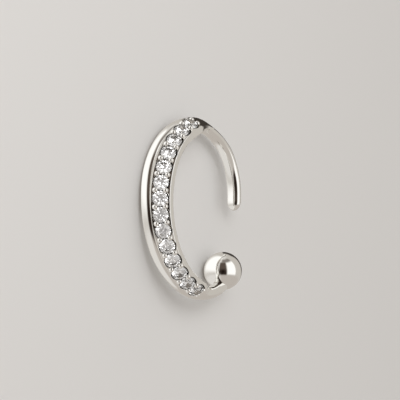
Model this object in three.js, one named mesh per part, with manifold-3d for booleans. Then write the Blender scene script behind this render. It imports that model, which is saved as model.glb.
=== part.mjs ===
import * as THREE from 'three';
import { ConvexGeometry } from 'three/addons/geometries/ConvexGeometry.js';
import { ConvexHull } from 'three/addons/math/ConvexHull.js';
import { mergeVertices } from 'three/addons/utils/BufferGeometryUtils.js';
import Module from 'manifold-3d';

const wasm = await Module();
wasm.setup();

// A pave ear cuff, in millimetres: an oval C of silver wire that ends in a plain round tip
// and in a soldered ball. Along its front a polished rail carries a bar with one row of
// bead-set round stones. The angles run round the oval: 0 is the middle of the front,
// positive angles go towards the plain tip and negative ones towards the ball.

// Oval centre line of the wire
const OVAL_HALF_HEIGHT = 5.85;
const OVAL_HALF_DEPTH = 4.98;

// Plain wire, slightly oval in section
const WIRE_THICKNESS = 0.8;
const WIRE_WIDTH = 1.08;
const TIP_ANGLE = 184;
const TIP_TUCK = 0.4;

// Polished rail along the front
const RAIL_THICKNESS = 0.92;
const RAIL_WIDTH = 1.0;
const RAIL_RISE = 0.32;
const RAIL_DROP = 0.72;

// Bar that holds the stones
const BAR_RISE = 0.45;
const BAR_SHIFT = 0.78;
const BAR_LEAN = 34;
const BAR_OUTER_WIDTH = 0.69;
const BAR_INNER_WIDTH = 0.93;
const BAR_DEPTH = 0.8;

// Stones and their setting
const STONE_COUNT = 14;
const STONE_DIAMETER = 1.1;
const STONE_SPACING = 0.048;
const STONE_GAP = 0.035;
const ROW_MIDDLE_ANGLE = 2.3;
const TABLE_SHARE = 0.56;
const CROWN_SHARE = 0.15;
const GIRDLE_SHARE = 0.03;
const PAVILION_SHARE = 0.42;
const MAIN_SHARE = 0.24;
const GIRDLE_SINK = 0.05;
const SEAT_MARGIN = 0.1;
const SEAT_CLEAR_HEIGHT = 1;
const BEAD_DIAMETER = 0.4;
const BEAD_OFFSET = 0.36;
const BEAD_HEIGHT = 0.02;
const BEAD_ROOT = 0.34;
const BEAD_STEM_SHARE = 0.75;
const BEAD_DOME_TURNS = [-0.3, 0.3, 0.9];
const BEAD_END_SINK = 0.06;
const BEAD_END_PULL = 0.1;

// Ball
const BALL_DIAMETER = 2.76;
const BALL_ANGLE = -125.2;
const BALL_TUCK = 0.1;
const BALL_DROP = 0.17;
const BALL_END_ANGLE = -114;

// Fineness of the facets
const ROUND_SIDES = 12;
const WIRE_STEPS = 60;
const BAR_STEPS = 40;
const BALL_SIDES = 20;
const BALL_RINGS = 12;
const SEAT_SIDES = 16;
const BEAD_SIDES = 8;
const END_STEPS = 4;
const END_CAP_SHARE = 0.87;

const polish = new THREE.MeshStandardMaterial({ color: 0xe6e4e0, roughness: 0.08, metalness: 1 });
const clearStone = new THREE.MeshStandardMaterial({ color: 0xf2f5f6, roughness: 0.02, metalness: 0 });

const pitch = STONE_DIAMETER + STONE_SPACING;
const halfRow = (pitch * (STONE_COUNT - 1)) / 2;
const rowRadius = (OVAL_HALF_HEIGHT + OVAL_HALF_DEPTH) / 2 + BAR_RISE;
const rowHalfAngle = THREE.MathUtils.radToDeg(halfRow / rowRadius);

// Section of the wire and rail round the oval. Column at is -2 at the ball, -1 at the last
// stone, 1 at the first stone and 2 at the plain tip; rise and drop are shares of RAIL_RISE
// and RAIL_DROP, tuck of TIP_TUCK, and body goes from 0, plain wire, to 1, full rail.
const wireRows = [
  { at: -2, rise: 1.3, drop: 0.0, tuck: 0.0, body: 1.0 },
  { at: -1.45, rise: 1.05, drop: 0.03, tuck: 0.0, body: 1.0 },
  { at: -0.85, rise: 0.95, drop: 0.31, tuck: 0.0, body: 1.0 },
  { at: -0.45, rise: 0.8, drop: 0.76, tuck: 0.0, body: 1.0 },
  { at: 0, rise: 0.62, drop: 0.95, tuck: 0.0, body: 1.0 },
  { at: 0.4, rise: 0.78, drop: 0.99, tuck: 0.0, body: 1.0 },
  { at: 0.8, rise: 0.95, drop: 0.64, tuck: 0.0, body: 0.9 },
  { at: 1.04, rise: 0.78, drop: 0.24, tuck: 0.0, body: 0.6 },
  { at: 1.16, rise: 0.42, drop: 0.06, tuck: 0.0, body: 0.25 },
  { at: 1.28, rise: 0.08, drop: 0.0, tuck: -0.02, body: 0.0 },
  { at: 1.41, rise: 0.0, drop: 0.0, tuck: -0.15, body: 0.0 },
  { at: 1.6, rise: 0.0, drop: 0.0, tuck: -0.38, body: 0.0 },
  { at: 1.78, rise: 0.0, drop: 0.0, tuck: 0.12, body: 0.0 },
  { at: 2, rise: 0.0, drop: 0.0, tuck: 1.1, body: 0.0 },
];

// Section of the bar on the same scale, with each column a share of the BAR size of that
// name. Its first and last rows lie inside the wire.
const barRows = [
  { at: -1.75, rise: 0.5, shift: 0.0, outer: 0.4, inner: 0.25, depth: 0.4 },
  { at: -1.52, rise: 0.62, shift: 0.25, outer: 0.55, inner: 0.4, depth: 0.55 },
  { at: -1.32, rise: 0.76, shift: 0.58, outer: 0.72, inner: 0.58, depth: 0.7 },
  { at: -1.15, rise: 0.84, shift: 0.8, outer: 0.84, inner: 0.74, depth: 0.8 },
  { at: -1, rise: 0.86, shift: 0.88, outer: 0.9, inner: 0.8, depth: 0.86 },
  { at: -0.7, rise: 0.95, shift: 0.83, outer: 0.94, inner: 0.86, depth: 0.92 },
  { at: 0, rise: 1.0, shift: 0.67, outer: 1.0, inner: 1.0, depth: 0.94 },
  { at: 0.65, rise: 0.98, shift: 0.86, outer: 0.96, inner: 0.98, depth: 1.05 },
  { at: 1, rise: 0.88, shift: 1.0, outer: 0.9, inner: 0.98, depth: 1.15 },
  { at: 1.07, rise: 0.85, shift: 0.93, outer: 0.86, inner: 0.92, depth: 1.1 },
  { at: 1.15, rise: 0.83, shift: 0.73, outer: 0.76, inner: 0.74, depth: 0.93 },
  { at: 1.24, rise: 0.8, shift: 0.53, outer: 0.6, inner: 0.52, depth: 0.7 },
  { at: 1.34, rise: 0.74, shift: 0.4, outer: 0.42, inner: 0.32, depth: 0.5 },
  { at: 1.46, rise: 0.64, shift: 0.3, outer: 0.25, inner: 0.15, depth: 0.35 },
];

// Angle round the oval of a place on the scale of the tables' column at.
function angleOf(at) {
  const end = ROW_MIDDLE_ANGLE + Math.sign(at) * rowHalfAngle;
  if (Math.abs(at) <= 1) {
    return ROW_MIDDLE_ANGLE + at * rowHalfAngle;
  }
  return THREE.MathUtils.lerp(end, at > 0 ? TIP_ANGLE : BALL_END_ANGLE, Math.abs(at) - 1);
}

// A smooth reading of a table's columns at any angle.
function reader(rows, columns) {
  const angles = rows.map((row) => angleOf(row.at));
  const samples = rows.flatMap((row) => columns.map((column) => row[column]));
  const curve = new THREE.CubicInterpolant(angles, samples, columns.length);
  return (angle) => {
    const values = curve.evaluate(angle);
    return Object.fromEntries(columns.map((column, i) => [column, values[i]]));
  };
}

const readWire = reader(wireRows, ['rise', 'drop', 'tuck', 'body']);
const readBar = reader(barRows, ['rise', 'shift', 'outer', 'inner', 'depth']);

// The oval's point at an angle, and its outward, axial and forward directions there.
function ovalFrame(angle) {
  const turn = THREE.MathUtils.degToRad(angle);
  const point = new THREE.Vector3(-OVAL_HALF_HEIGHT * Math.sin(turn), -OVAL_HALF_DEPTH * Math.cos(turn), 0);
  const outward = new THREE.Vector3(-OVAL_HALF_DEPTH * Math.sin(turn), -OVAL_HALF_HEIGHT * Math.cos(turn), 0);
  outward.normalize();
  const axial = new THREE.Vector3(0, 0, 1);
  const forward = new THREE.Vector3().crossVectors(outward, axial);
  return { point, outward, axial, forward };
}

// A point given by its distance out of the oval and its distance along the cuff's axis.
function place(angle, out, across) {
  const { point, outward, axial } = ovalFrame(angle);
  return point.addScaledVector(outward, out).addScaledVector(axial, across);
}

// Centre and half sizes of the wire's section at an angle.
function wireSection(angle) {
  const { rise, drop, tuck, body } = readWire(angle);
  return {
    out: rise * RAIL_RISE - tuck * TIP_TUCK,
    across: -drop * RAIL_DROP,
    halfThickness: THREE.MathUtils.lerp(WIRE_THICKNESS, RAIL_THICKNESS, body) / 2,
    halfWidth: THREE.MathUtils.lerp(WIRE_WIDTH, RAIL_WIDTH, body) / 2,
  };
}

// The middle of the bar's stone face at an angle, with the face's normal and its direction
// towards the inner edge.
function barFace(angle) {
  const { outward, axial } = ovalFrame(angle);
  const { rise, shift } = readBar(angle);
  const lean = THREE.MathUtils.degToRad(BAR_LEAN);
  const centre = place(angle, rise * BAR_RISE, shift * BAR_SHIFT);
  const normal = outward.clone().multiplyScalar(Math.cos(lean)).addScaledVector(axial, Math.sin(lean));
  const inwards = axial.clone().multiplyScalar(Math.cos(lean)).addScaledVector(outward, -Math.sin(lean));
  return { centre, normal, inwards };
}

// A closed bar along a path: ring(share) gives the outline's points at a share of the
// length, in order from outward to axial. The base shape is a capped cylinder.
function sweep(sides, steps, ring) {
  const geometry = new THREE.CylinderGeometry(1, 1, 1, sides, steps);
  const rings = Array.from({ length: steps + 1 }, (_, step) => ring(step / steps));
  const middles = rings.map((points) => {
    const sum = points.reduce((total, point) => total.add(point), new THREE.Vector3());
    return sum.divideScalar(sides);
  });
  const position = geometry.attributes.position;
  for (let i = 0; i < position.count; i += 1) {
    const x = position.getX(i);
    const z = position.getZ(i);
    const step = Math.round((position.getY(i) + 0.5) * steps);
    const side = Math.round((Math.atan2(x, z) / (2 * Math.PI)) * sides + sides) % sides;
    const point = Math.hypot(x, z) < 0.5 ? middles[step] : rings[step][side];
    position.setXYZ(i, point.x, point.y, point.z);
  }
  return geometry;
}

function solid(geometry) {
  const bare = geometry.clone();
  bare.deleteAttribute('normal');
  bare.deleteAttribute('uv');
  const merged = mergeVertices(bare, 1e-5);
  const vertProperties = new Float32Array(merged.attributes.position.array);
  const triVerts = new Uint32Array(merged.index.array);
  return new wasm.Manifold(new wasm.Mesh({ numProp: 3, vertProperties, triVerts }));
}

function geometryOf(manifold) {
  const { vertProperties, triVerts } = manifold.getMesh();
  const geometry = new THREE.BufferGeometry();
  geometry.setAttribute('position', new THREE.BufferAttribute(new Float32Array(vertProperties), 3));
  geometry.setIndex(new THREE.BufferAttribute(new Uint32Array(triVerts), 1));
  geometry.computeVertexNormals();
  return geometry;
}

// Wire and rail from the ball to the plain tip, with both ends rounded over.
function wireGeometry() {
  const first = BALL_END_ANGLE;
  const arcAt = (angle) => ovalFrame(angle).point.distanceTo(ovalFrame(angle + 1).point);
  const endAngle = WIRE_THICKNESS / 2 / arcAt(TIP_ANGLE);
  const angles = [];
  for (let step = 0; step <= WIRE_STEPS; step += 1) {
    angles.push(THREE.MathUtils.lerp(first, TIP_ANGLE - endAngle, step / WIRE_STEPS));
  }
  const scales = angles.map(() => 1);
  for (let step = 1; step <= END_STEPS; step += 1) {
    const quarter = (step / END_STEPS) * END_CAP_SHARE * (Math.PI / 2);
    angles.push(TIP_ANGLE - endAngle + endAngle * Math.sin(quarter));
    scales.push(Math.cos(quarter));
  }
  const steps = angles.length - 1;
  return sweep(ROUND_SIDES, steps, (share) => {
    const step = Math.round(share * steps);
    const { out, across, halfThickness, halfWidth } = wireSection(angles[step]);
    return Array.from({ length: ROUND_SIDES }, (_, side) => {
      const turn = (2 * Math.PI * side) / ROUND_SIDES;
      const outwards = halfThickness * scales[step] * Math.cos(turn);
      const sideways = halfWidth * scales[step] * Math.sin(turn);
      return place(angles[step], out + outwards, across + sideways);
    });
  });
}

// The row of stones runs along the middle of the bar's face.
class RowCurve extends THREE.Curve {
  getPoint(share, target = new THREE.Vector3()) {
    return target.copy(barFace(this.angleAt(share)).centre);
  }

  angleAt(share) {
    return THREE.MathUtils.lerp(angleOf(-1.3), angleOf(1.2), share);
  }

  angleAtDistance(distance) {
    return this.angleAt(this.getUtoTmapping(0, distance));
  }
}

const row = new RowCurve();
row.arcLengthDivisions = 720;

// Angle of stone i, counted from the tip end; halves give the gaps between stones.
function stoneAngle(i) {
  const firstAngle = angleOf(-1.3);
  const share = (ROW_MIDDLE_ANGLE - firstAngle) / (angleOf(1.2) - firstAngle);
  const middle = row.getLengths()[Math.round(share * row.arcLengthDivisions)];
  return row.angleAtDistance(middle + halfRow - i * pitch);
}

// Outline of the bar across the face: w is measured along the face from the row, as a
// share of the inner or outer width, and h is the height under the face over the depth.
const barOutline = [
  { w: 0.6, h: 0 },
  { w: 0.88, h: -0.1 },
  { w: 0.98, h: -0.2 },
  { w: 1, h: -0.34 },
  { w: 0.96, h: -0.5 },
  { w: 0.82, h: -0.74 },
  { w: 0.4, h: -1 },
  { w: -0.4, h: -1 },
  { w: -1, h: -0.6 },
  { w: -1, h: -0.08 },
  { w: -0.93, h: 0 },
];

function barGeometry() {
  const from = angleOf(barRows.at(0).at);
  const to = angleOf(barRows.at(-1).at);
  return sweep(barOutline.length, BAR_STEPS, (share) => {
    const angle = THREE.MathUtils.lerp(from, to, share);
    const { outer, inner, depth } = readBar(angle);
    const { centre, normal, inwards } = barFace(angle);
    return barOutline.map(({ w, h }) => {
      const width = w * (w > 0 ? inner * BAR_INNER_WIDTH : outer * BAR_OUTER_WIDTH);
      return centre.clone().addScaledVector(inwards, width).addScaledVector(normal, h * depth * BAR_DEPTH);
    });
  });
}

// Round brilliant: table, 8 stars, 8 kites, 16 upper and 16 lower girdle facets and 8 mains.
// Its girdle's top edge lies in the plane z = 0.
function brilliantGeometry(diameter) {
  const radius = diameter / 2;
  const crown = CROWN_SHARE * diameter;
  const girdle = GIRDLE_SHARE * diameter;
  const pavilion = PAVILION_SHARE * diameter;
  const tableRadius = TABLE_SHARE * radius;
  const starRadius = (tableRadius + radius) / 2;
  const mainRadius = MAIN_SHARE * radius;
  const half = Math.PI / 8;
  const starHeight = crown * (1 - (starRadius * Math.cos(half) - tableRadius) / (radius - tableRadius));
  const mainHeight = -girdle - pavilion * (1 - (mainRadius * Math.cos(half)) / radius);
  const points = [new THREE.Vector3(0, 0, -girdle - pavilion)];
  const ring = (distance, height, turn) => {
    points.push(new THREE.Vector3(distance * Math.cos(turn), distance * Math.sin(turn), height));
  };
  for (let i = 0; i < 8; i += 1) {
    const turn = (i * Math.PI) / 4;
    ring(tableRadius, crown, turn);
    ring(starRadius, starHeight, turn + half);
    ring(mainRadius, mainHeight, turn + half);
    for (const step of [0, 1]) {
      ring(radius, 0, turn + step * half);
      ring(radius, -girdle, turn + step * half);
    }
  }
  return new ConvexGeometry(points);
}

// Puts local +z along the face's normal at an angle, lifted off the face by height and
// moved sideways towards the inner edge.
function seatMatrix(angle, height, sideways = 0) {
  const { centre, normal, inwards } = barFace(angle);
  const along = new THREE.Vector3().crossVectors(inwards, normal).normalize();
  const origin = centre.addScaledVector(normal, height).addScaledVector(inwards, sideways);
  return new THREE.Matrix4().makeBasis(along, inwards, normal).setPosition(origin);
}

// Pocket round a stone, open at the face, with a ledge under the girdle.
function pocketGeometry() {
  const top = STONE_DIAMETER / 2 + SEAT_MARGIN;
  const bottom = STONE_DIAMETER / 2 + STONE_GAP;
  const floor = -GIRDLE_SHARE * STONE_DIAMETER - STONE_GAP;
  const profile = [[0, floor], [bottom, floor], [top, GIRDLE_SINK]];
  profile.push([top, SEAT_CLEAR_HEIGHT], [0, SEAT_CLEAR_HEIGHT]);
  const points = profile.map(([x, y]) => new THREE.Vector2(x, y));
  return new THREE.LatheGeometry(points, SEAT_SIDES).rotateX(Math.PI / 2);
}

// Bead with its root in the metal: a dome on a short stem.
function beadGeometry() {
  const radius = BEAD_DIAMETER / 2;
  const points = [new THREE.Vector2(0, -BEAD_ROOT), new THREE.Vector2(radius * BEAD_STEM_SHARE, -BEAD_ROOT)];
  for (const turn of BEAD_DOME_TURNS) {
    points.push(new THREE.Vector2(radius * Math.cos(turn), radius * Math.sin(turn)));
  }
  points.push(new THREE.Vector2(0, radius));
  return new THREE.LatheGeometry(points, BEAD_SIDES).rotateX(Math.PI / 2);
}

function ballSolid() {
  const sphere = new THREE.SphereGeometry(BALL_DIAMETER / 2, BALL_SIDES, BALL_RINGS);
  const centre = place(BALL_ANGLE, -BALL_TUCK, -BALL_DROP);
  return solid(sphere.translate(centre.x, centre.y, centre.z));
}

// The whole silver body is one casting with the ball soldered on.
function silverBody() {
  let body = solid(wireGeometry()).add(solid(barGeometry())).add(ballSolid());
  const pocket = pocketGeometry();
  const bead = beadGeometry();
  const clearance = brilliantGeometry(STONE_DIAMETER);
  const spread = 1 + (2 * STONE_GAP) / STONE_DIAMETER;
  const lift = 1 + STONE_GAP / (CROWN_SHARE * STONE_DIAMETER);
  clearance.scale(spread, spread, lift);
  for (let i = 0; i < STONE_COUNT; i += 1) {
    body = body.subtract(solid(pocket.clone().applyMatrix4(seatMatrix(stoneAngle(i), -GIRDLE_SINK))));
  }
  for (let gap = -0.5; gap < STONE_COUNT; gap += 1) {
    const isEnd = gap < 0 || gap > STONE_COUNT - 1;
    const height = isEnd ? BEAD_HEIGHT - BEAD_END_SINK : BEAD_HEIGHT;
    const offset = isEnd ? BEAD_OFFSET - BEAD_END_PULL : BEAD_OFFSET;
    for (const side of [-1, 1]) {
      const matrix = seatMatrix(stoneAngle(gap), height, side * offset);
      body = body.add(solid(bead.clone().applyMatrix4(matrix)));
    }
  }
  for (let i = 0; i < STONE_COUNT; i += 1) {
    body = body.subtract(solid(clearance.clone().applyMatrix4(seatMatrix(stoneAngle(i), -GIRDLE_SINK))));
  }
  return body;
}

// Centre of mass of a closed triangle mesh.
function massCentre(geometry) {
  const position = geometry.attributes.position;
  const index = geometry.index;
  const centre = new THREE.Vector3();
  let total = 0;
  const corner = (i) => new THREE.Vector3().fromBufferAttribute(position, index.getX(i));
  for (let i = 0; i < index.count; i += 3) {
    const [a, b, c] = [corner(i), corner(i + 1), corner(i + 2)];
    const volume = a.dot(b.clone().cross(c)) / 6;
    centre.addScaledVector(a.add(b).add(c), volume / 4);
    total += volume;
  }
  return centre.divideScalar(total);
}

// The turn that lays the cuff down on its rail side: the face of the convex hull that
// lies under the centre of mass goes to the surface.
function restingTurn(geometry) {
  const position = geometry.attributes.position;
  const points = [];
  for (let i = 0; i < position.count; i += 1) {
    points.push(new THREE.Vector3().fromBufferAttribute(position, i));
  }
  const centre = massCentre(geometry);
  const isUnder = (face) => {
    let edge = face.edge;
    do {
      const along = edge.head().point.clone().sub(edge.tail().point);
      const side = along.cross(centre.clone().sub(edge.tail().point)).dot(face.normal);
      if (side < 0) {
        return false;
      }
      edge = edge.next;
    } while (edge !== face.edge);
    return true;
  };
  const faces = new ConvexHull().setFromPoints(points).faces;
  const down = new THREE.Vector3(0, 0, -1);
  const mostDown = Math.cos(Math.PI / 5);
  const under = faces.filter((face) => face.normal.dot(down) > mostDown && isUnder(face));
  return new THREE.Quaternion().setFromUnitVectors(under[0].normal, down);
}

const body = geometryOf(silverBody());
const cuff = new THREE.Group();
const silver = new THREE.Mesh(body, polish);
silver.name = 'cuff_body';
cuff.add(silver);

const brilliant = brilliantGeometry(STONE_DIAMETER);
for (let i = 0; i < STONE_COUNT; i += 1) {
  const stone = new THREE.Mesh(brilliant, clearStone);
  stone.name = `stone_${String(i + 1).padStart(2, '0')}`;
  stone.applyMatrix4(seatMatrix(stoneAngle(i), -GIRDLE_SINK));
  cuff.add(stone);
}

cuff.quaternion.copy(restingTurn(body));
cuff.updateMatrixWorld(true);
const box = new THREE.Box3().setFromObject(cuff, true);
const middle = box.getCenter(new THREE.Vector3());
cuff.position.set(-middle.x, -middle.y, -box.min.z);

export default cuff;
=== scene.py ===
import math

import bmesh
import bpy
import numpy as np
from mathutils import Matrix, Vector


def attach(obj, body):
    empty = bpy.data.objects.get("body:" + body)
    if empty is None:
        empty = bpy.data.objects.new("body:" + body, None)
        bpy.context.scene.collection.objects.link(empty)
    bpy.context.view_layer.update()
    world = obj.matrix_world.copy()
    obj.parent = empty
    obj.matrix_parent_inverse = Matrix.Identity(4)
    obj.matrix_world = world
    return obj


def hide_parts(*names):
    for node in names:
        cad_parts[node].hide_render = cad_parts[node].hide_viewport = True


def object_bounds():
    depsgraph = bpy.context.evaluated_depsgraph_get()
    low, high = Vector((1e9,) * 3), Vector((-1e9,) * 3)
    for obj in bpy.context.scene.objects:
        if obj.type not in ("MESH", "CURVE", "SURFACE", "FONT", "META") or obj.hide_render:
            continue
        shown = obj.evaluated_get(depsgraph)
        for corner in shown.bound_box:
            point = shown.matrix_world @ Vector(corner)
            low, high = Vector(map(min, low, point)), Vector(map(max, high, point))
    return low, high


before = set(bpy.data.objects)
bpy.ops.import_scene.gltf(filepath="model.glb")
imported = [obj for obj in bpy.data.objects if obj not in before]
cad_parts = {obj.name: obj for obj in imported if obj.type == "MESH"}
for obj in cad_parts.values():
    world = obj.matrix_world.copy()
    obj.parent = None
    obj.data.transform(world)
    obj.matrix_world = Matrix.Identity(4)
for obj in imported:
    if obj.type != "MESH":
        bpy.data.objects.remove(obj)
cad_low, cad_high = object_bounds()

# Camera. A long lens in front, 35 degrees above the floor and turned on its side, so that
# the oval stands upright in the picture. The cuff takes up about half the frame's height.
MM = 0.001
CAMERA_AZIMUTH = -2.2
CAMERA_ELEVATION = 35.43
CAMERA_ROLL = 90.11
LENS_MM = 200
SENSOR_MM = 36
FRAME_WIDTH_MM = 28.57
AIM_RIGHT_MM = 0.222
AIM_UP_MM = 0.63
NEAREST_SHARE = 0.01
FARTHEST_SHARE = 20

azimuth = math.radians(CAMERA_AZIMUTH)
elevation = math.radians(CAMERA_ELEVATION)
to_camera = Vector((
    math.sin(azimuth) * math.cos(elevation),
    -math.cos(azimuth) * math.cos(elevation),
    math.sin(elevation),
))
camera_turn = (-to_camera).to_track_quat("-Z", "Y").to_matrix() @ Matrix.Rotation(
    math.radians(CAMERA_ROLL), 3, "Z"
)
aim = (cad_low + cad_high) / 2
aim += camera_turn @ Vector((AIM_RIGHT_MM, AIM_UP_MM, 0)) * MM
distance = FRAME_WIDTH_MM / SENSOR_MM * LENS_MM * MM

camera_data = bpy.data.cameras.new("camera")
camera_data.lens = LENS_MM
camera_data.sensor_width = SENSOR_MM
camera_data.clip_start = distance * NEAREST_SHARE
camera_data.clip_end = distance * FARTHEST_SHARE
camera = bpy.data.objects.new("camera", camera_data)
camera.matrix_world = Matrix.Translation(aim + to_camera * distance) @ camera_turn.to_4x4()
bpy.context.scene.collection.objects.link(camera)
bpy.context.scene.camera = camera

# Wire and rail. One length of silver, drawn oval in section, is bent to an oval C. It
# swells along the front into the polished rail, and its plain end is rounded over.
# Sizes of the cuff are in millimetres, and angles in degrees from the front's middle.
OVAL_HALF_HEIGHT = 5.85
OVAL_HALF_DEPTH = 4.98
WIRE_THICKNESS = 0.8
WIRE_WIDTH = 1.08
TIP_ANGLE = 184
TIP_TUCK = 0.4
RAIL_THICKNESS = 0.92
RAIL_WIDTH = 1.0
RAIL_RISE = 0.32
RAIL_DROP = 0.72
BALL_END_ANGLE = -114
BAR_RISE = 0.45
STONE_COUNT = 14
STONE_DIAMETER = 1.1
STONE_SPACING = 0.048
ROW_MIDDLE_ANGLE = 2.3
WIRE_STATIONS = 420
WIRE_SIDES = 48
TIP_STATIONS = 14
TIP_LENGTH = 0.72
TIP_FULLNESS = 2.6
MERGE_DISTANCE = 0.0005
# Place along the oval from ball, -2, over the last stone, -1, and the first stone, 1, to
# the plain tip, 2. Then shares of RAIL_RISE, RAIL_DROP and TIP_TUCK, and 0 wire to 1 rail.
WIRE_ROWS = (
    (-2, 1.3, 0.0, 0.0, 1.0),
    (-1.45, 1.05, 0.03, 0.0, 1.0),
    (-0.85, 0.95, 0.31, 0.0, 1.0),
    (-0.45, 0.8, 0.76, 0.0, 1.0),
    (0, 0.62, 0.95, 0.0, 1.0),
    (0.4, 0.78, 0.99, 0.0, 1.0),
    (0.8, 0.95, 0.64, 0.0, 0.9),
    (1.04, 0.78, 0.24, 0.0, 0.6),
    (1.16, 0.42, 0.06, 0.0, 0.25),
    (1.28, 0.08, 0.0, -0.02, 0.0),
    (1.41, 0.0, 0.0, -0.15, 0.0),
    (1.6, 0.0, 0.0, -0.38, 0.0),
    (1.78, 0.0, 0.0, 0.12, 0.0),
    (2, 0.0, 0.0, 1.1, 0.0),
)

pitch = STONE_DIAMETER + STONE_SPACING
half_row = pitch * (STONE_COUNT - 1) / 2
row_radius = (OVAL_HALF_HEIGHT + OVAL_HALF_DEPTH) / 2 + BAR_RISE
row_half_angle = math.degrees(half_row / row_radius)


def angle_of(at):
    """Angle round the oval, in degrees, of a place on the scale of the tables."""
    if abs(at) <= 1:
        return ROW_MIDDLE_ANGLE + at * row_half_angle
    end = ROW_MIDDLE_ANGLE + math.copysign(row_half_angle, at)
    return end + (abs(at) - 1) * ((TIP_ANGLE if at > 0 else BALL_END_ANGLE) - end)


def read_rows(rows, angle):
    """The columns of a table at an angle, on a smooth cubic through its rows."""
    places = [angle_of(row[0]) for row in rows]
    values = [np.array(row[1:]) for row in rows]
    last = len(rows) - 1
    i = min(max(sum(place <= angle for place in places) - 1, 0), last - 1)
    span = places[i + 1] - places[i]
    p = (angle - places[i]) / span

    def slope(k):
        """Mean of the slopes before and after a row, and none at the table's ends."""
        if k in (0, last):
            return 0 * values[k]
        before = (values[k] - values[k - 1]) / (places[k] - places[k - 1])
        after = (values[k + 1] - values[k]) / (places[k + 1] - places[k])
        return (before + after) / 2

    start = (1 + 2 * p) * values[i] + p * span * slope(i)
    end = (3 - 2 * p) * values[i + 1] - (1 - p) * span * slope(i + 1)
    return (1 - p) ** 2 * start + p**2 * end


def oval_frame(angle):
    """The oval's point at an angle, and its way outwards."""
    turn = math.radians(angle)
    point = Vector((-OVAL_HALF_HEIGHT * math.sin(turn), -OVAL_HALF_DEPTH * math.cos(turn), 0))
    outward = Vector((-OVAL_HALF_DEPTH * math.sin(turn), -OVAL_HALF_HEIGHT * math.cos(turn), 0))
    return point, outward.normalized()


AXIAL = Vector((0, 0, 1))


def place(angle, out, across):
    """A point by its distance out of the oval and along the cuff's axis."""
    point, outward = oval_frame(angle)
    return point + outward * out + AXIAL * across


def add_node(tree, kind, inputs=(), **settings):
    """Adds a node with its settings, and gives each input a value or a link."""
    made = tree.nodes.new(kind)
    for name, value in settings.items():
        setattr(made, name, value)
    for key, value in dict(inputs).items():
        if isinstance(value, bpy.types.NodeSocket):
            tree.links.new(value, made.inputs[key])
        else:
            made.inputs[key].default_value = value
    return made


def new_tree(name, sockets):
    """A Geometry Nodes tree with a geometry input, more named inputs and one output."""
    tree = bpy.data.node_groups.new(name, "GeometryNodeTree")
    tree.interface.new_socket(name="Geometry", in_out="INPUT", socket_type="NodeSocketGeometry")
    for label, kind in sockets:
        tree.interface.new_socket(name=label, in_out="INPUT", socket_type="NodeSocket" + kind)
    tree.interface.new_socket(name="Geometry", in_out="OUTPUT", socket_type="NodeSocketGeometry")
    return tree, add_node(tree, "NodeGroupInput").outputs


def mesh_object(name, points, edges=(), faces=(), **columns):
    """An object of points, in mm in the cuff's frame, with named number or vector columns."""
    mesh = bpy.data.meshes.new(name)
    mesh.from_pydata([tuple(p) for p in points], edges, faces)
    for column, values in columns.items():
        flat = np.array(values, dtype=float)
        kind, field = ("FLOAT_VECTOR", "vector") if flat.ndim == 2 else ("FLOAT", "value")
        mesh.attributes.new(column, kind, "POINT").data.foreach_set(field, flat.ravel())
    made = bpy.data.objects.new(name, mesh)
    bpy.context.scene.collection.objects.link(made)
    return made


def run_tree(source, tree, values):
    """Runs a tree on an object, with its inputs by name, and returns the plain mesh."""
    modifier = source.modifiers.new(tree.name, "NODES")
    modifier.node_group = tree
    for item in tree.interface.items_tree:
        if item.in_out == "INPUT" and item.name in values:
            modifier[item.identifier] = values[item.name]
    graph = bpy.context.evaluated_depsgraph_get()
    mesh = bpy.data.meshes.new_from_object(source.evaluated_get(graph), depsgraph=graph)
    source.modifiers.remove(modifier)
    return mesh


def drop(*helpers):
    """Removes objects that only helped to make another."""
    for helper in helpers:
        bpy.data.objects.remove(helper)


def ring_outline(name, points):
    """A closed outline in the plane of a section, which keeps its points as a column."""
    corners = [(x, y, 0) for x, y in points]
    edges = [(i, (i + 1) % len(corners)) for i in range(len(corners))]
    return mesh_object(name, corners, edges, outline=corners)


def close_tree(tree, geometry, metal):
    """Ends a tree with plain geometry in its metal."""
    realized = add_node(tree, "GeometryNodeRealizeInstances", {"Geometry": geometry})
    dressed = add_node(
        tree, "GeometryNodeSetMaterial", {"Geometry": realized.outputs[0], "Material": metal}
    )
    add_node(tree, "NodeGroupOutput", {"Geometry": dressed.outputs[0]})


# The section's outline is carried along the path, and each path point turns and sizes it.
sweep_tree, given = new_tree(
    "swept_section",
    (("Outline", "Object"), ("Side size", "Float"), ("Up size", "Float"), ("Metal", "Material")),
)
outline_shape = add_node(sweep_tree, "GeometryNodeObjectInfo", {"Object": given["Outline"]})
profile = add_node(
    sweep_tree, "GeometryNodeMeshToCurve", {"Mesh": outline_shape.outputs["Geometry"]}
)
path = add_node(sweep_tree, "GeometryNodeMeshToCurve", {"Mesh": given["Geometry"]})
tube = add_node(
    sweep_tree,
    "GeometryNodeCurveToMesh",
    {"Curve": path.outputs[0], "Profile Curve": profile.outputs[0], "Fill Caps": True},
)


def read_column(tree, name, data_type="FLOAT_VECTOR"):
    """A named column of the geometry that flows through the tree."""
    return add_node(
        tree, "GeometryNodeInputNamedAttribute", {"Name": name}, data_type=data_type
    ).outputs["Attribute"]


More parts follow.
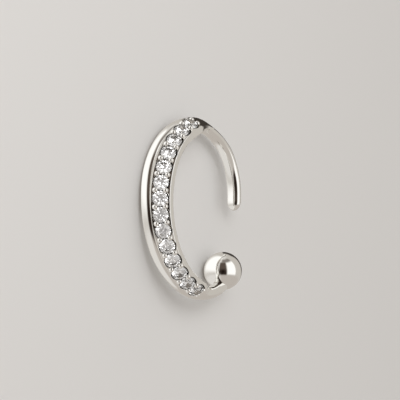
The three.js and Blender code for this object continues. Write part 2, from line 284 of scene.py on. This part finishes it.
outline_xyz = add_node(
    sweep_tree, "ShaderNodeSeparateXYZ", {"Vector": read_column(sweep_tree, "outline")}
)
swept = read_column(sweep_tree, "centre")
for axis, share, size, part in (
    ("side", "side_share", "Side size", "X"),
    ("up", "up_share", "Up size", "Y"),
):
    length = add_node(
        sweep_tree,
        "ShaderNodeMath",
        {0: read_column(sweep_tree, share, "FLOAT"), 1: given[size]},
        operation="MULTIPLY",
    )
    reach = add_node(
        sweep_tree,
        "ShaderNodeMath",
        {0: length.outputs[0], 1: outline_xyz.outputs[part]},
        operation="MULTIPLY",
    )
    offset = add_node(
        sweep_tree,
        "ShaderNodeVectorMath",
        {0: read_column(sweep_tree, axis), "Scale": reach.outputs[0]},
        operation="SCALE",
    )
    swept = add_node(
        sweep_tree, "ShaderNodeVectorMath", {0: swept, 1: offset.outputs[0]}, operation="ADD"
    ).outputs[0]
shaped = add_node(
    sweep_tree, "GeometryNodeSetPosition", {"Geometry": tube.outputs[0], "Position": swept}
)
closed = add_node(
    sweep_tree,
    "GeometryNodeMergeByDistance",
    {"Geometry": shaped.outputs[0], "Distance": MERGE_DISTANCE},
)
close_tree(sweep_tree, closed.outputs[0], given["Metal"])


def linear(hex_colour):
    """A colour written as sRGB hex, as the linear RGBA that a shader takes."""
    shares = [int(hex_colour[i : i + 2], 16) / 255 for i in (1, 3, 5)]
    bent = [s / 12.92 if s <= 0.04045 else ((s + 0.055) / 1.055) ** 2.4 for s in shares]
    return (*bent, 1.0)


def new_material(name):
    """A material with its node tree, its Principled shader and its Object coordinates."""
    made = bpy.data.materials.new(name)
    made.use_nodes = True
    tree = made.node_tree
    shader = next(n for n in tree.nodes if n.type == "BSDF_PRINCIPLED")
    coordinates = add_node(tree, "ShaderNodeTexCoord").outputs["Object"]
    return made, tree, shader, coordinates


# Sterling silver, cast and polished on a felt wheel: a slightly warm white mirror. The
# wheel leaves hairlines, drawn here 0.05 mm apart, coarser than real, and faint soft
# patches. Shade is painted into the colour, which is darker in the narrow corners.
SILVER_HEX = "#f5f4f1"
# Colour of the painted shade in the narrow corners, and how far and how strongly it is painted.
PAINTED_SHADE_HEX = "#aca499"
PAINTED_SHADE_REACH_MM = 0.4
PAINTED_SHADE_OPEN = 0.62
PAINTED_SHADE_SHUT = 0.25
PAINTED_SHADE_SAMPLES = 8
WHEEL_LINE_MM = 0.05
WHEEL_LINE_STRENGTH = 0.02
SOFT_PATCH_MM = 1.4
PATCH_LOW = 0.3
PATCH_HIGH = 0.7
SILVER_ROUGHNESS_LOW = 0.03
SILVER_ROUGHNESS_HIGH = 0.09
silver, tree, shader, coordinates = new_material("sterling_silver_polished")
# Painted shade: ambient occlusion darkens the base colour in narrow corners and crevices.
openness = add_node(
    tree,
    "ShaderNodeAmbientOcclusion",
    {"Distance": PAINTED_SHADE_REACH_MM * MM},
    samples=PAINTED_SHADE_SAMPLES,
).outputs["AO"]
unshaded = add_node(
    tree,
    "ShaderNodeMapRange",
    {"Value": openness, "From Min": PAINTED_SHADE_SHUT, "From Max": PAINTED_SHADE_OPEN},
)
silver_and_painted_shade = add_node(
    tree,
    "ShaderNodeMix",
    {"Factor": unshaded.outputs[0], "A": linear(PAINTED_SHADE_HEX), "B": linear(SILVER_HEX)},
    data_type="RGBA",
)
tree.links.new(silver_and_painted_shade.outputs["Result"], shader.inputs["Base Color"])
shader.inputs["Metallic"].default_value = 1.0
patches = add_node(
    tree,
    "ShaderNodeTexNoise",
    {"Vector": coordinates, "Scale": 1 / (SOFT_PATCH_MM * MM), "Detail": 3.0},
)
dullness = add_node(
    tree,
    "ShaderNodeMapRange",
    {
        "Value": patches.outputs[0],
        "From Min": PATCH_LOW,
        "From Max": PATCH_HIGH,
        "To Min": SILVER_ROUGHNESS_LOW,
        "To Max": SILVER_ROUGHNESS_HIGH,
    },
)
tree.links.new(dullness.outputs[0], shader.inputs["Roughness"])
hairlines = add_node(
    tree,
    "ShaderNodeTexNoise",
    {"Vector": coordinates, "Scale": 1 / (WHEEL_LINE_MM * MM), "Detail": 2.0},
)
bump = add_node(
    tree,
    "ShaderNodeBump",
    {
        "Height": hairlines.outputs[0],
        "Strength": WHEEL_LINE_STRENGTH,
        "Distance": WHEEL_LINE_MM * MM,
    },
)
tree.links.new(bump.outputs[0], shader.inputs["Normal"])

wire_steps = np.linspace(BALL_END_ANGLE, TIP_ANGLE, WIRE_STATIONS)
tip_angle_length = math.degrees(TIP_LENGTH / OVAL_HALF_DEPTH)
stations = [(angle, 1.0) for angle in wire_steps if angle < TIP_ANGLE - tip_angle_length]
for step in range(TIP_STATIONS + 1):
    along = math.sin(step / TIP_STATIONS * math.pi / 2)
    width_share = math.sqrt(max(0, 1 - along**TIP_FULLNESS))
    stations.append((TIP_ANGLE - tip_angle_length * (1 - along), width_share))
columns = {"centre": [], "side": [], "up": [], "side_share": [], "up_share": []}
for angle, scale in stations:
    rise, fall, tuck, body = read_rows(WIRE_ROWS, angle)
    out = rise * RAIL_RISE - tuck * TIP_TUCK
    columns["centre"].append(place(angle, out, -fall * RAIL_DROP))
    columns["side"].append(oval_frame(angle)[1])
    columns["up"].append(AXIAL)
    thickness = WIRE_THICKNESS + body * (RAIL_THICKNESS - WIRE_THICKNESS)
    width = WIRE_WIDTH + body * (RAIL_WIDTH - WIRE_WIDTH)
    columns["side_share"].append(scale * thickness / 2 / RAIL_THICKNESS)
    columns["up_share"].append(scale * width / 2 / RAIL_WIDTH)
chain = [(i, i + 1) for i in range(len(stations) - 1)]
wire_path = mesh_object("wire_path", columns["centre"], chain, **columns)
turns = [2 * math.pi * i / WIRE_SIDES for i in range(WIRE_SIDES)]
wire_outline = ring_outline("wire_outline", [(math.cos(t), math.sin(t)) for t in turns])
wire_mesh = run_tree(
    wire_path,
    sweep_tree,
    {"Outline": wire_outline, "Side size": RAIL_THICKNESS, "Up size": RAIL_WIDTH, "Metal": silver},
)
drop(wire_path, wire_outline)

# Bar. A silver strip leans outwards on top of the rail and carries the stones in its
# face. It is cast in one with the rail, and both of its ends run out into the wire.
BAR_SHIFT = 0.78
BAR_LEAN = 34
BAR_OUTER_WIDTH = 0.69
BAR_INNER_WIDTH = 0.93
BAR_DEPTH = 0.8
BAR_STATIONS = 360
CORNER_SHARE = 0.16
CORNER_STEPS = 5
# Place as above, then shares of BAR_RISE, BAR_SHIFT, BAR_OUTER_WIDTH, BAR_INNER_WIDTH
# and BAR_DEPTH.
BAR_ROWS = (
    (-1.75, 0.5, 0.0, 0.4, 0.25, 0.4),
    (-1.52, 0.62, 0.25, 0.55, 0.4, 0.55),
    (-1.32, 0.76, 0.58, 0.72, 0.58, 0.7),
    (-1.15, 0.84, 0.8, 0.84, 0.74, 0.8),
    (-1, 0.86, 0.88, 0.9, 0.8, 0.86),
    (-0.7, 0.95, 0.83, 0.94, 0.86, 0.92),
    (0, 1.0, 0.67, 1.0, 1.0, 0.94),
    (0.65, 0.98, 0.86, 0.96, 0.98, 1.05),
    (1, 0.88, 1.0, 0.9, 0.98, 1.15),
    (1.07, 0.85, 0.93, 0.86, 0.92, 1.1),
    (1.15, 0.83, 0.73, 0.76, 0.74, 0.93),
    (1.24, 0.8, 0.53, 0.6, 0.52, 0.7),
    (1.34, 0.74, 0.4, 0.42, 0.32, 0.5),
    (1.46, 0.64, 0.3, 0.25, 0.15, 0.35),
)
# Corners of the section: share of the half width from outer to inner edge, and of depth.
BAR_CORNERS = (
    (0.71, 0),
    (0.91, -0.29),
    (0.98, -0.44),
    (0.97, -0.55),
    (0.82, -0.74),
    (0.4, -1),
    (-0.4, -1),
    (-1, -0.6),
    (-1, -0.12),
    (-0.96, 0),
)


def bar_face(angle):
    """Middle of the stone face at an angle, its normal and its direction inwards."""
    outward = oval_frame(angle)[1]
    rise, shift = read_rows(BAR_ROWS, angle)[:2]
    lean = math.radians(BAR_LEAN)
    normal = outward * math.cos(lean) + AXIAL * math.sin(lean)
    inwards = AXIAL * math.cos(lean) - outward * math.sin(lean)
    return place(angle, rise * BAR_RISE, shift * BAR_SHIFT), normal, inwards


def rounded(corners, share, steps):
    """A closed outline with each corner rounded over a share of its shorter side."""
    points = []
    count = len(corners)
    for i, corner in enumerate(corners):
        here = Vector(corner)
        back = Vector(corners[i - 1]) - here
        ahead = Vector(corners[(i + 1) % count]) - here
        reach = share * min(back.length, ahead.length)
        start = here + back.normalized() * reach
        end = here + ahead.normalized() * reach
        for step in range(steps + 1):
            t = step / steps
            points.append(start * (1 - t) ** 2 + here * 2 * t * (1 - t) + end * t**2)
    return points


bar_width = BAR_INNER_WIDTH + BAR_OUTER_WIDTH
columns = {"centre": [], "side": [], "up": [], "side_share": [], "up_share": []}
for angle in np.linspace(angle_of(BAR_ROWS[0][0]), angle_of(BAR_ROWS[-1][0]), BAR_STATIONS):
    outer, inner, depth = read_rows(BAR_ROWS, angle)[2:]
    centre, normal, inwards = bar_face(angle)
    outer_width = outer * BAR_OUTER_WIDTH
    inner_width = inner * BAR_INNER_WIDTH
    columns["centre"].append(centre + inwards * (inner_width - outer_width) / 2)
    columns["side"].append(inwards)
    columns["up"].append(normal)
    columns["side_share"].append((inner_width + outer_width) / bar_width)
    columns["up_share"].append(depth)
chain = [(i, i + 1) for i in range(BAR_STATIONS - 1)]
bar_path = mesh_object("bar_path", columns["centre"], chain, **columns)
bar_outline = ring_outline("bar_outline", rounded(BAR_CORNERS, CORNER_SHARE, CORNER_STEPS))
bar_mesh = run_tree(
    bar_path,
    sweep_tree,
    {
        "Outline": bar_outline,
        "Side size": bar_width / 2,
        "Up size": BAR_DEPTH,
        "Metal": silver,
    },
)
drop(bar_path, bar_outline)

# Ball. A solid silver ball is soldered over the wire's end, past the last stone. It gives
# that end a smooth stop on the ear, and is polished with the rest.
BALL_DIAMETER = 2.76
BALL_ANGLE = -125.2
BALL_TUCK = 0.1
BALL_DROP = 0.17
BALL_ROUNDS = 6


def even_ball(radius, centre):
    """A ball of even triangles."""
    shape = bmesh.new()
    bmesh.ops.create_icosphere(shape, subdivisions=BALL_ROUNDS, radius=radius)
    bmesh.ops.translate(shape, verts=shape.verts, vec=centre)
    mesh = bpy.data.meshes.new("ball")
    shape.to_mesh(mesh)
    shape.free()
    return mesh


ball_mesh = even_ball(BALL_DIAMETER / 2, place(BALL_ANGLE, -BALL_TUCK, -BALL_DROP))

# Seats and beads. A setting burr cuts a seat for each stone, and a graver raises two
# beads in each gap from the bar's own metal, pushed over the girdles to hold the stones.
GIRDLE_SINK = 0.05
STONE_GAP = 0.035
SEAT_MARGIN = 0.1
CROWN_SHARE = 0.15
TABLE_SHARE = 0.56
GIRDLE_SHARE = 0.03
PAVILION_SHARE = 0.42
BEAD_DIAMETER = 0.4
BEAD_OFFSET = 0.36
BEAD_HEIGHT = 0.02
BEAD_ROOT = 0.34
BEAD_END_SINK = 0.06
BEAD_END_PULL = 0.1
BURR_SHIFT = 0.025
BURR_POINT_RADIUS = 0.1
BURR_POINT_DEPTH = 0.08
BURR_SHOULDER_DEPTH = 0.06
BURR_TOP = 0.9
SEAT_EDGE_NARROW = 0.015
SEAT_EDGE_WIDE = 0.02
SEAT_EDGE_REACH = 0.02
STONE_POINT_RADIUS = 0.05
STONE_RIM_REACH = 0.01
SEAT_SIDES = 48
SHARP_ANGLE = 34
BEAD_SIDES = 20
BEAD_RINGS = 7
BEAD_LOWEST_TURN = -0.4
BEAD_ROOT_SHARE = 0.8
ROW_START = -1.3
ROW_END = 1.2
ROW_STEPS = 1440

row_angles = np.linspace(angle_of(ROW_START), angle_of(ROW_END), ROW_STEPS)
row_points = [bar_face(angle)[0] for angle in row_angles]
row_lengths = np.cumsum([0.0] + [(b - a).length for a, b in zip(row_points, row_points[1:])])


def stone_angle(i):
    """Angle of stone i from the tip end; halves are the gaps between stones."""
    middle = np.interp(ROW_MIDDLE_ANGLE, row_angles, row_lengths)
    return np.interp(middle + half_row - i * pitch, row_lengths, row_angles)


def seat(i, height, sideways=0.0):
    """Place of a seat or gap in the face, lifted by height and moved sideways."""
    centre, normal, inwards = bar_face(stone_angle(i))
    return centre + normal * height + inwards * sideways, normal, inwards


def lathe(name, profile, sides):
    """A turned solid about Z, from a profile that starts and ends on the axis."""
    points = [(0, 0, profile[0][1])]
    faces = []
    for radius, height in profile[1:-1]:
        for side in range(sides):
            turn = 2 * math.pi * side / sides
            points.append((radius * math.cos(turn), radius * math.sin(turn), height))
    points.append((0, 0, profile[-1][1]))
    last = len(points) - 1
    rings = len(profile) - 2
    for side in range(sides):
        after = (side + 1) % sides
        faces.append((0, 1 + after, 1 + side))
        for ring in range(rings - 1):
            low, high = 1 + ring * sides, 1 + (ring + 1) * sides
            faces.append((low + side, low + after, high + after, high + side))
        top = 1 + (rings - 1) * sides
        faces.append((top + side, top + after, last))
    return mesh_object(name, points, (), faces)


stone_radius = STONE_DIAMETER / 2
seat_radius = stone_radius + STONE_GAP
girdle_low = -GIRDLE_SHARE * STONE_DIAMETER
culet = girdle_low - PAVILION_SHARE * STONE_DIAMETER
seat_edge = stone_radius + SEAT_MARGIN
crown_top = CROWN_SHARE * STONE_DIAMETER + STONE_GAP
burr = lathe(
    "burr",
    (
        (0, culet - BURR_POINT_DEPTH),
        (BURR_POINT_RADIUS, culet - BURR_SHOULDER_DEPTH),
        (seat_radius, girdle_low - STONE_GAP),
        (seat_edge - SEAT_EDGE_NARROW, GIRDLE_SINK - SEAT_EDGE_REACH),
        (seat_edge + SEAT_EDGE_WIDE, GIRDLE_SINK + SEAT_EDGE_REACH),
        (seat_edge + SEAT_EDGE_WIDE, BURR_TOP),
        (0, BURR_TOP),
    ),
    SEAT_SIDES,
)
stone_blank = lathe(
    "stone_blank",
    (
        (0, culet - STONE_GAP),
        (STONE_POINT_RADIUS, culet - STONE_GAP),
        (seat_radius, girdle_low - STONE_RIM_REACH),
        (seat_radius, STONE_RIM_REACH),
        (TABLE_SHARE * stone_radius + STONE_GAP, crown_top),
        (0, crown_top),
    ),
    SEAT_SIDES,
)
bead_radius = BEAD_DIAMETER / 2
dome = [
    (bead_radius * math.cos(t), bead_radius * math.sin(t))
    for t in np.linspace(BEAD_LOWEST_TURN, math.pi / 2, BEAD_RINGS)[:-1]
]
bead = lathe(
    "bead",
    [(0, -BEAD_ROOT), (bead_radius * BEAD_ROOT_SHARE, -BEAD_ROOT), *dome, (0, bead_radius)],
    BEAD_SIDES,
)


def seat_points(name, seats):
    """Points at seats, with the directions that turn what is put on them."""
    points, normals, inwards = zip(*seats)
    return mesh_object(name, points, normal=normals, inwards=inwards)


stone_seats = seat_points("stone_seats", [seat(i, -GIRDLE_SINK) for i in range(STONE_COUNT)])
burr_seats = seat_points(
    "burr_seats", [seat(i, -GIRDLE_SINK, BURR_SHIFT) for i in range(STONE_COUNT)]
)
bead_seats = []
for gap in np.arange(-0.5, STONE_COUNT, 1):
    at_end = gap < 0 or gap > STONE_COUNT - 1
    height = BEAD_HEIGHT - (BEAD_END_SINK if at_end else 0)
    offset = BEAD_OFFSET - (BEAD_END_PULL if at_end else 0)
    bead_seats += [seat(gap, height, offset), seat(gap, height, -offset)]
bead_seats = seat_points("bead_seats", bead_seats)

setting_tree, given = new_tree(
    "bead_setting",
    (
        ("Stone seats", "Object"),
        ("Burr seats", "Object"),
        ("Bead seats", "Object"),
        ("Burr", "Object"),
        ("Bead", "Object"),
        ("Stone", "Object"),
        ("Bead size", "Float"),
        ("Metal", "Material"),
    ),
)


def put_on(tree, seats, tool, size=None):
    """A tool's mesh on every seat, turned to the seat's normal."""
    points = add_node(tree, "GeometryNodeObjectInfo", {"Object": given[seats]})
    shape = add_node(tree, "GeometryNodeObjectInfo", {"Object": given[tool]})
    turn = add_node(
        tree,
        "FunctionNodeAxesToRotation",
        {
            "Primary Axis": read_column(tree, "normal"),
            "Secondary Axis": read_column(tree, "inwards"),
        },
        primary_axis="Z",
        secondary_axis="Y",
    )
    on_seats = add_node(
        tree,
        "GeometryNodeInstanceOnPoints",
        {
            "Points": points.outputs["Geometry"],
            "Instance": shape.outputs["Geometry"],
            "Rotation": turn.outputs[0],
        },
    )
    if size is not None:
        tree.links.new(size, on_seats.inputs["Scale"])
    return on_seats.outputs[0]


def boolean(tree, operation, first, *others):
    """Cuts or joins closed meshes."""
    made = add_node(tree, "GeometryNodeMeshBoolean", operation=operation, solver="MANIFOLD")
    if operation == "DIFFERENCE":
        tree.links.new(first, made.inputs["Mesh 1"])
    else:
        others = (first, *others)
    for other in others:
        tree.links.new(other, made.inputs["Mesh 2"])
    return made.outputs[0]


burrs = put_on(setting_tree, "Burr seats", "Burr")
beads = put_on(setting_tree, "Bead seats", "Bead", given["Bead size"])
stone_blanks = put_on(setting_tree, "Stone seats", "Stone")
cut = boolean(setting_tree, "DIFFERENCE", given["Geometry"], burrs)
beaded = boolean(setting_tree, "UNION", cut, beads)
cleared = boolean(setting_tree, "DIFFERENCE", beaded, stone_blanks)
close_tree(setting_tree, cleared, given["Metal"])

# Casting. Wire, rail, bar and ball are one solid of silver, cast and soldered. Where the
# bar runs out into the wire, the steps are rubbed down before the seats are cut. Its two
# runs are given by angles round the oval, with the share of the rubbing at each.
SMOOTH_ANGLES = (-107, -97, -84, -73, 81, 93, 112, 160)
SMOOTH_SHARES = (0, 0.6, 0.6, 0, 0, 1, 1, 0)
SMOOTH_ROUNDS = 20
join_tree, given = new_tree(
    "casting", (("Bar", "Object"), ("Ball", "Object"), ("Metal", "Material"))
)
bar_part = add_node(join_tree, "GeometryNodeObjectInfo", {"Object": given["Bar"]})
ball_part = add_node(join_tree, "GeometryNodeObjectInfo", {"Object": given["Ball"]})
joined = boolean(
    join_tree,
    "UNION",
    given["Geometry"],
    bar_part.outputs["Geometry"],
    ball_part.outputs["Geometry"],
)
close_tree(join_tree, joined, given["Metal"])

smooth_tree, given = new_tree("smoothed_ends", (("Rounds", "Int"), ("Metal", "Material")))
spots = add_node(smooth_tree, "GeometryNodeInputPosition").outputs[0]
blurred = add_node(
    smooth_tree,
    "GeometryNodeBlurAttribute",
    {"Iterations": given["Rounds"], "Weight": read_column(smooth_tree, "smoothing", "FLOAT")},
    data_type="FLOAT_VECTOR",
)
vector_in = next(s for s in blurred.inputs if s.enabled and s.type == "VECTOR")
smooth_tree.links.new(spots, vector_in)
vector_out = next(s for s in blurred.outputs if s.enabled and s.type == "VECTOR")
eased = add_node(
    smooth_tree, "GeometryNodeSetPosition", {"Geometry": given["Geometry"], "Position": vector_out}
)
close_tree(smooth_tree, eased.outputs[0], given["Metal"])


def show(mesh, name):
    """An object of a mesh, linked to the scene."""
    made = bpy.data.objects.new(name, mesh)
    bpy.context.scene.collection.objects.link(made)
    return made


wire = show(wire_mesh, "wire")
bar = show(bar_mesh, "bar")
ball = show(ball_mesh, "ball")
rough_mesh = run_tree(wire, join_tree, {"Bar": bar, "Ball": ball, "Metal": silver})
rough_spots = np.array([v.co for v in rough_mesh.vertices])
round_angles = np.degrees(
    np.arctan2(-rough_spots[:, 0] / OVAL_HALF_HEIGHT, -rough_spots[:, 1] / OVAL_HALF_DEPTH)
)
smoothing = rough_mesh.attributes.new("smoothing", "FLOAT", "POINT")
smoothing.data.foreach_set("value", np.interp(round_angles, SMOOTH_ANGLES, SMOOTH_SHARES))
rough = show(rough_mesh, "rough")
smooth_mesh = run_tree(rough, smooth_tree, {"Rounds": SMOOTH_ROUNDS, "Metal": silver})
casting = show(smooth_mesh, "casting")
cuff_mesh = run_tree(
    casting,
    setting_tree,
    {
        "Stone seats": stone_seats,
        "Burr seats": burr_seats,
        "Bead seats": bead_seats,
        "Burr": burr,
        "Bead": bead,
        "Stone": stone_blank,
        "Bead size": 1.0,
        "Metal": silver,
    },
)
drop(wire, bar, ball, rough, casting)
drop(burr, bead, stone_blank, stone_seats, burr_seats, bead_seats)

# The cuff lies on its side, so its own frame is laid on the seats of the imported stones.
# Each seat is found from a stone's middle and its table, which needs its normal, so the
# laying is repeated a few times.
LAY_ROUNDS = 4
stone_nodes = [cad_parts[f"stone_{i + 1:02d}"] for i in range(STONE_COUNT)]
stone_corners = [np.array([v.co for v in stone.data.vertices]) / MM for stone in stone_nodes]
own_seats = [seat(i, -GIRDLE_SINK) for i in range(STONE_COUNT)]
own_points = np.array([tuple(point) for point, _, _ in own_seats])
lay_turn = np.identity(3)
for _ in range(LAY_ROUNDS):
    packed_points = []
    for corners, (_, normal, _) in zip(stone_corners, own_seats):
        up = lay_turn @ np.array(normal)
        middle = corners.mean(0)
        girdle_top = (corners @ up).max() - CROWN_SHARE * STONE_DIAMETER
        packed_points.append(middle + up * (girdle_top - middle @ up))
    packed_points = np.array(packed_points)
    own_middle = own_points.mean(0)
    packed_middle = packed_points.mean(0)
    u, _, v = np.linalg.svd((own_points - own_middle).T @ (packed_points - packed_middle))
    mirror = np.diag((1, 1, np.sign(np.linalg.det(v.T @ u.T))))
    lay_turn = v.T @ mirror @ u.T
lay_shift = packed_middle - lay_turn @ own_middle
lay = Matrix.Translation(lay_shift * MM) @ Matrix(lay_turn).to_4x4() @ Matrix.Scale(MM, 4)
cuff_mesh.transform(lay)
cuff_mesh.shade_smooth()
cuff_mesh.set_sharp_from_angle(angle=math.radians(SHARP_ANGLE))
cuff_silver = show(cuff_mesh, "cuff_silver")
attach(cuff_silver, "root")
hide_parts("cuff_body")

# Stones. Fourteen round brilliants of cubic zirconia, a clear crystal that bends light
# strongly, cut and polished on a lap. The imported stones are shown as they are, because
# their facets are flat. The lap's lines are drawn 0.2 mm apart, coarser than real.
STONE_HEX = "#ffffff"
STONE_IOR = 2.16
LAP_LINE_MM = 0.2
STONE_ROUGHNESS_HIGH = 0.02
zirconia, tree, shader, coordinates = new_material("cubic_zirconia_cut")
shader.inputs["Base Color"].default_value = linear(STONE_HEX)
shader.inputs["Transmission Weight"].default_value = 1.0
shader.inputs["IOR"].default_value = STONE_IOR
lap_lines = add_node(
    tree,
    "ShaderNodeTexNoise",
    {"Vector": coordinates, "Scale": 1 / (LAP_LINE_MM * MM), "Detail": 2.0},
)
lap_dullness = add_node(
    tree,
    "ShaderNodeMapRange",
    {"Value": lap_lines.outputs[0], "To Min": 0.0, "To Max": STONE_ROUGHNESS_HIGH},
)
tree.links.new(lap_dullness.outputs[0], shader.inputs["Roughness"])
for stone in stone_nodes:
    stone.data.materials.clear()
    stone.data.materials.append(zirconia)

# Studio. The cuff lies on pale paper. The metal and the stones mirror a tent of soft pale
# panels instead of the paper, with two windows and a dark gap for the lens. The paper's
# fibres are drawn in clumps of 1.7 mm, coarser than real.
FLOOR_HEX = "#e3e2e1"
FLOOR_SIDE_M = 4.0
PAPER_ROUGHNESS = 0.9
CLUMPS_PER_M = 600.0
CLUMP_STRENGTH = 0.03
CLUMP_HEIGHT_MM = 0.2
TENT_HEX = "#c8c3bc"
BACKDROP_HEX = "#dad9d7"
# Each panel of the tent by its degrees to the right and up from the photo's line of
# sight, as first and last right, first and last up. Then half the width of its soft
# edge to the side and up, its colour and its brightness.
TENT_PANELS = (
    (-230, 230, 74, 130, 7, 6, "#dbd8d3", 1.0),
    (146, 230, -6, 46, 8, 8, "#3f3a35", 1.0),
    (-10, 85, 52, 74, 10, 7, "#8b857f", 1.0),
    (-142, -27, -4, 130, 22, 15, "#fdfcfa", 1.15),
    (27, 84, -19, 50, 6, 8, "#fdfcfa", 1.15),
    (-24, 22, -22, 54, 6, 7, "#5a5048", 1.0),
    (-24, 22, -60, 10, 6, 14, "#362d27", 1.0),
    (-230, 230, -130, -22, 7, 7, "#bfb8b1", 1.0),
    (-150, -20, -80, -16, 12, 9, "#e3e0dc", 1.0),
    (-9, 9, -12, 8, 7, 9, "#1f1814", 1.0),
)
# The facets bend light in from the whole room, where lamps and dark gaps lie side by
# side. So what comes through a stone is lighter, and broken into about 14 degree cells.
STONE_LIFT_HEX = "#f3f1ef"
STONE_LIFT_SHARE = 0.45
CELLS_PER_RADIAN = 4.0
CELL_LOW = 0.55
CELL_HIGH = 1.5
KEY_DIRECTION = (-0.45, -0.5, 0.75)
KEY_DISTANCE_MM = 120
KEY_SIZE_MM = 70
KEY_RADIANCE = 2.8

paper, tree, shader, coordinates = new_material("matte_paper_floor")
clumps = add_node(
    tree, "ShaderNodeTexNoise", {"Vector": coordinates, "Scale": CLUMPS_PER_M, "Detail": 4.0}
)
clump_bump = add_node(
    tree,
    "ShaderNodeBump",
    {
        "Height": clumps.outputs[0],
        "Strength": CLUMP_STRENGTH,
        "Distance": CLUMP_HEIGHT_MM * MM,
    },
)
tree.links.new(clump_bump.outputs[0], shader.inputs["Normal"])
shader.inputs["Base Color"].default_value = linear(FLOOR_HEX)
shader.inputs["Roughness"].default_value = PAPER_ROUGHNESS
half = FLOOR_SIDE_M / 2
floor = mesh_object(
    "floor",
    [(-half, -half, 0), (half, -half, 0), (half, half, 0), (-half, half, 0)],
    (),
    [(0, 1, 2, 3)],
)
floor.data.materials.append(paper)
floor.visible_glossy = False
floor.visible_transmission = False

key_data = bpy.data.lights.new("key", "AREA")
key_data.size = KEY_SIZE_MM * MM
key_data.energy = KEY_RADIANCE * math.pi * key_data.size**2
key = bpy.data.objects.new("key", key_data)
towards_key = Vector(KEY_DIRECTION).normalized()
key_turn = (-towards_key).to_track_quat("-Z", "Y").to_matrix().to_4x4()
key.matrix_world = Matrix.Translation(towards_key * KEY_DISTANCE_MM * MM) @ key_turn
key.visible_glossy = False
bpy.context.scene.collection.objects.link(key)

world = bpy.data.worlds.new("tent")
world.use_nodes = True
tree = world.node_tree
background = next(n for n in tree.nodes if n.type == "BACKGROUND")
direction = add_node(tree, "ShaderNodeTexCoord").outputs["Generated"]
right, upwards, ahead = (
    add_node(
        tree, "ShaderNodeVectorMath", {0: direction, 1: camera_turn.col[i]}, operation="DOT_PRODUCT"
    ).outputs["Value"]
    for i in range(3)
)
to_right = add_node(tree, "ShaderNodeMath", {0: right, 1: ahead}, operation="ARCTAN2").outputs[0]
to_up = add_node(tree, "ShaderNodeMath", {0: upwards}, operation="ARCSINE").outputs[0]


def rising(tree, angle, at, edge):
    """Goes from 0 to 1 as an angle passes a number of degrees, over twice the edge."""
    ends = {"From Min": math.radians(at - edge), "From Max": math.radians(at + edge)}
    return add_node(
        tree, "ShaderNodeMapRange", {"Value": angle, **ends}, interpolation_type="SMOOTHSTEP"
    ).outputs[0]


def inside(tree, angle, first, last, edge):
    """Is 1 between two angles and 0 outside them."""
    return add_node(
        tree,
        "ShaderNodeMath",
        {0: rising(tree, angle, first, edge), 1: rising(tree, angle, last, edge)},
        operation="SUBTRACT",
    ).outputs[0]


tent = linear(TENT_HEX)
for first, last, low_up, high_up, side_edge, up_edge, panel_hex, brightness in TENT_PANELS:
    share = add_node(
        tree,
        "ShaderNodeMath",
        {
            0: inside(tree, to_right, first, last, side_edge),
            1: inside(tree, to_up, low_up, high_up, up_edge),
        },
        operation="MULTIPLY",
    )
    panel = [channel * brightness for channel in linear(panel_hex)[:3]] + [1.0]
    mixed = add_node(
        tree, "ShaderNodeMix", {"Factor": share.outputs[0], "A": tent, "B": panel}, data_type="RGBA"
    )
    tent = mixed.outputs["Result"]
ray_kind = add_node(tree, "ShaderNodeLightPath").outputs
lifted = add_node(
    tree,
    "ShaderNodeMix",
    {"Factor": STONE_LIFT_SHARE, "A": tent, "B": linear(STONE_LIFT_HEX)},
    data_type="RGBA",
)
cells = add_node(tree, "ShaderNodeTexVoronoi", {"Vector": direction, "Scale": CELLS_PER_RADIAN})
cell_channels = add_node(tree, "ShaderNodeSeparateColor", {"Color": cells.outputs["Color"]})
cell_brightness = add_node(
    tree,
    "ShaderNodeMapRange",
    {"Value": cell_channels.outputs[0], "To Min": CELL_LOW, "To Max": CELL_HIGH},
)
broken = add_node(
    tree,
    "ShaderNodeVectorMath",
    {0: lifted.outputs["Result"], "Scale": cell_brightness.outputs[0]},
    operation="SCALE",
)
reflected = add_node(
    tree,
    "ShaderNodeMix",
    {"Factor": ray_kind["Is Transmission Ray"], "A": tent, "B": broken.outputs[0]},
    data_type="RGBA",
)
shown = add_node(
    tree,
    "ShaderNodeMix",
    {
        "Factor": ray_kind["Is Camera Ray"],
        "A": reflected.outputs["Result"],
        "B": linear(BACKDROP_HEX),
    },
    data_type="RGBA",
)
tree.links.new(shown.outputs["Result"], background.inputs["Color"])
bpy.context.scene.world = world
bpy.context.scene.view_settings.view_transform = "Standard"
